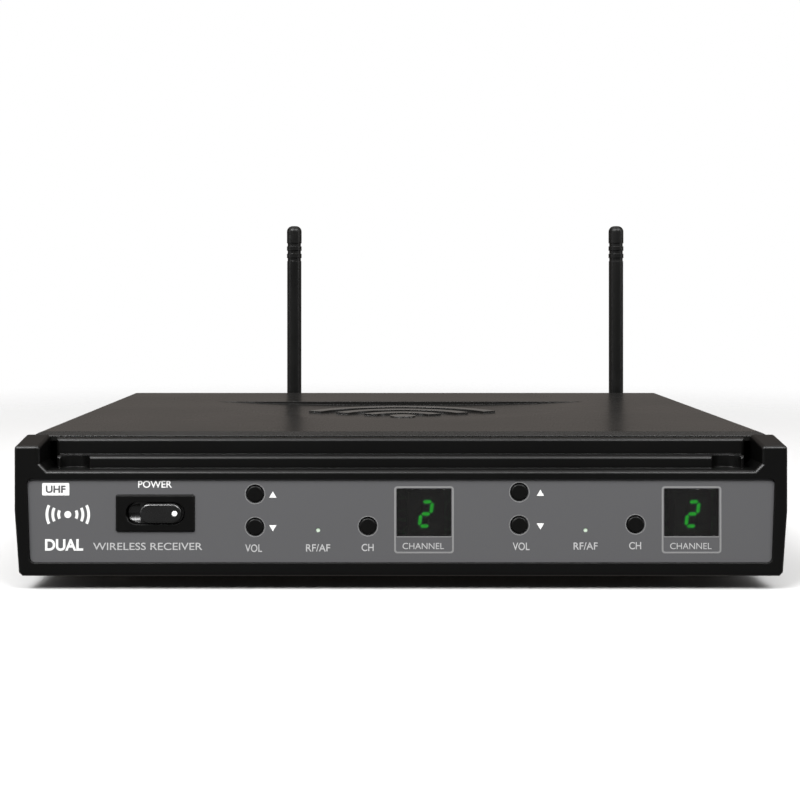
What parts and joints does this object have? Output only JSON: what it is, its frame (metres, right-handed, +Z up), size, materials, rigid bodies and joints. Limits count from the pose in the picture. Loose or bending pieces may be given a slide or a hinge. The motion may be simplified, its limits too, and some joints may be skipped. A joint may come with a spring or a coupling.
{
  "type": "wireless microphone receiver",
  "caption": "Half-rack wireless microphone receiver: black case, stepped bezel, grey face plate, rocker switch, push buttons, digit displays and folding rear whip antennas.",
  "frame": {"origin": "on the table, under the middle of the unit's outer box", "axes": "+X to the right seen from the front, +Y towards the back, +Z up"},
  "size_m": [0.211, 0.1806, 0.1085],
  "materials": {
    "case_plastic": "satin black moulded plastic with a fine spark texture",
    "plate_grey": "satin grey paint",
    "smoked_window": "smoked acrylic",
    "control_plastic": "satin black",
    "rocker_plastic": "gloss black",
    "lamp_lens": "clear diffused",
    "segment_lit": "lit green",
    "segment_dark": "unlit",
    "display_face": "black",
    "circuit_board": "green solder mask",
    "tinned_steel": "tinned",
    "screw_steel": "zinc plated",
    "foot_rubber": "matte",
    "socket_nickel": "satin nickel",
    "contact_silver": "silver plated",
    "brass_nickel": "nickel over brass",
    "chip_black": "matte epoxy",
    "capacitor_sleeve": "shrink sleeve",
    "sink_aluminium": "anodised",
    "wire_cover": "insulation",
    "ribbon_grey": "flat cable",
    "antenna_rubber": "satin rubberised"
  },
  "bodies": {
    "case": {"front_bezel": "case_plastic", "face_plate": "plate_grey", "top_cover": "case_plastic", "bottom_tray": "case_plastic", "rear_panel": "case_plastic", "rubber_feet": "foot_rubber", "case_screws": "screw_steel", "bezel_screws": "screw_steel", "board_screws": "screw_steel", "output_screws": "screw_steel", "main_board": "circuit_board", "front_board": "circuit_board", "receiver_module_a": "tinned_steel", "receiver_module_b": "tinned_steel", "filter_capacitors": "capacitor_sleeve", "audio_chips": "chip_black", "crystals": "tinned_steel", "voltage_regulator": "chip_black", "heat_sink": "sink_aluminium", "board_headers": "chip_black", "ribbon_cable": "ribbon_grey", "power_leads": "wire_cover", "coax_lead_a": "wire_cover", "coax_lead_b": "wire_cover", "display_window_a": "smoked_window", "display_window_b": "smoked_window", "display_module_a": "display_face", "display_module_b": "display_face", "lit_segments": "segment_lit", "dark_segments": "segment_dark", "signal_lamps": "lamp_lens", "tact_switches": "chip_black", "power_switch_frame": "control_plastic", "switch_terminals": "brass_nickel", "output_shell_a": "socket_nickel", "output_shell_b": "socket_nickel", "output_inserts": "control_plastic", "output_pins": "contact_silver", "mix_jack_body": "control_plastic", "mix_jack_nut": "socket_nickel", "power_inlet_body": "control_plastic", "power_inlet_pin": "contact_silver", "squelch_bodies": "chip_black", "antenna_bushings": "brass_nickel", "antenna_nuts": "socket_nickel"},
    "power_rocker": {"power_rocker": "rocker_plastic"},
    "volume_up_button_a": {"volume_up_button_a": "control_plastic"},
    "volume_down_button_a": {"volume_down_button_a": "control_plastic"},
    "channel_button_a": {"channel_button_a": "control_plastic"},
    "volume_up_button_b": {"volume_up_button_b": "control_plastic"},
    "volume_down_button_b": {"volume_down_button_b": "control_plastic"},
    "channel_button_b": {"channel_button_b": "control_plastic"},
    "squelch_trimmer_a": {"squelch_trimmer_a": "control_plastic"},
    "squelch_trimmer_b": {"squelch_trimmer_b": "control_plastic"},
    "antenna_elbow_a": {"antenna_elbow_a": "control_plastic", "antenna_hinge_pin_a": "screw_steel"},
    "antenna_whip_a": {"antenna_whip_a": "antenna_rubber"},
    "antenna_elbow_b": {"antenna_elbow_b": "control_plastic", "antenna_hinge_pin_b": "screw_steel"},
    "antenna_whip_b": {"antenna_whip_b": "antenna_rubber"}
  },
  "joints": [
    {"name": "power_rocker_tilt", "type": "hinge", "parent": "case", "child": "power_rocker", "pos_m": [-0.067, -0.0872, 0.0212], "axis": [0, 0, 1], "range_deg": [0, 18]},
    {"name": "volume_up_button_a_press", "type": "slide", "parent": "case", "child": "volume_up_button_a", "axis": [0, 1, 0], "range_m": [0, 0.0005], "stiffness_N_per_m": 800, "springref_m": -0.0005},
    {"name": "volume_down_button_a_press", "type": "slide", "parent": "case", "child": "volume_down_button_a", "axis": [0, 1, 0], "range_m": [0, 0.0005], "stiffness_N_per_m": 800, "springref_m": -0.0005},
    {"name": "channel_button_a_press", "type": "slide", "parent": "case", "child": "channel_button_a", "axis": [0, 1, 0], "range_m": [0, 0.0005], "stiffness_N_per_m": 800, "springref_m": -0.0005},
    {"name": "volume_up_button_b_press", "type": "slide", "parent": "case", "child": "volume_up_button_b", "axis": [0, 1, 0], "range_m": [0, 0.0005], "stiffness_N_per_m": 800, "springref_m": -0.0005},
    {"name": "volume_down_button_b_press", "type": "slide", "parent": "case", "child": "volume_down_button_b", "axis": [0, 1, 0], "range_m": [0, 0.0005], "stiffness_N_per_m": 800, "springref_m": -0.0005},
    {"name": "channel_button_b_press", "type": "slide", "parent": "case", "child": "channel_button_b", "axis": [0, 1, 0], "range_m": [0, 0.0005], "stiffness_N_per_m": 800, "springref_m": -0.0005},
    {"name": "squelch_a_turn", "type": "hinge", "parent": "case", "child": "squelch_trimmer_a", "pos_m": [-0.074, 0.0703, 0.023], "axis": [0, 1, 0], "range_deg": [-135, 135]},
    {"name": "squelch_b_turn", "type": "hinge", "parent": "case", "child": "squelch_trimmer_b", "pos_m": [-0.062, 0.0703, 0.023], "axis": [0, 1, 0], "range_deg": [-135, 135]},
    {"name": "antenna_a_swivel", "type": "hinge", "parent": "case", "child": "antenna_elbow_a", "pos_m": [-0.041, 0.0733, 0.024], "axis": [0, 1, 0], "range_deg": [-90, 90]},
    {"name": "antenna_a_fold", "type": "hinge", "parent": "antenna_elbow_a", "child": "antenna_whip_a", "pos_m": [-0.041, 0.0853, 0.024], "axis": [-1, 0, 0], "range_deg": [0, 90]},
    {"name": "antenna_b_swivel", "type": "hinge", "parent": "case", "child": "antenna_elbow_b", "pos_m": [0.0903, 0.0733, 0.024], "axis": [0, 1, 0], "range_deg": [-90, 90]},
    {"name": "antenna_b_fold", "type": "hinge", "parent": "antenna_elbow_b", "child": "antenna_whip_b", "pos_m": [0.0903, 0.0853, 0.024], "axis": [-1, 0, 0], "range_deg": [0, 90]}
  ]
}
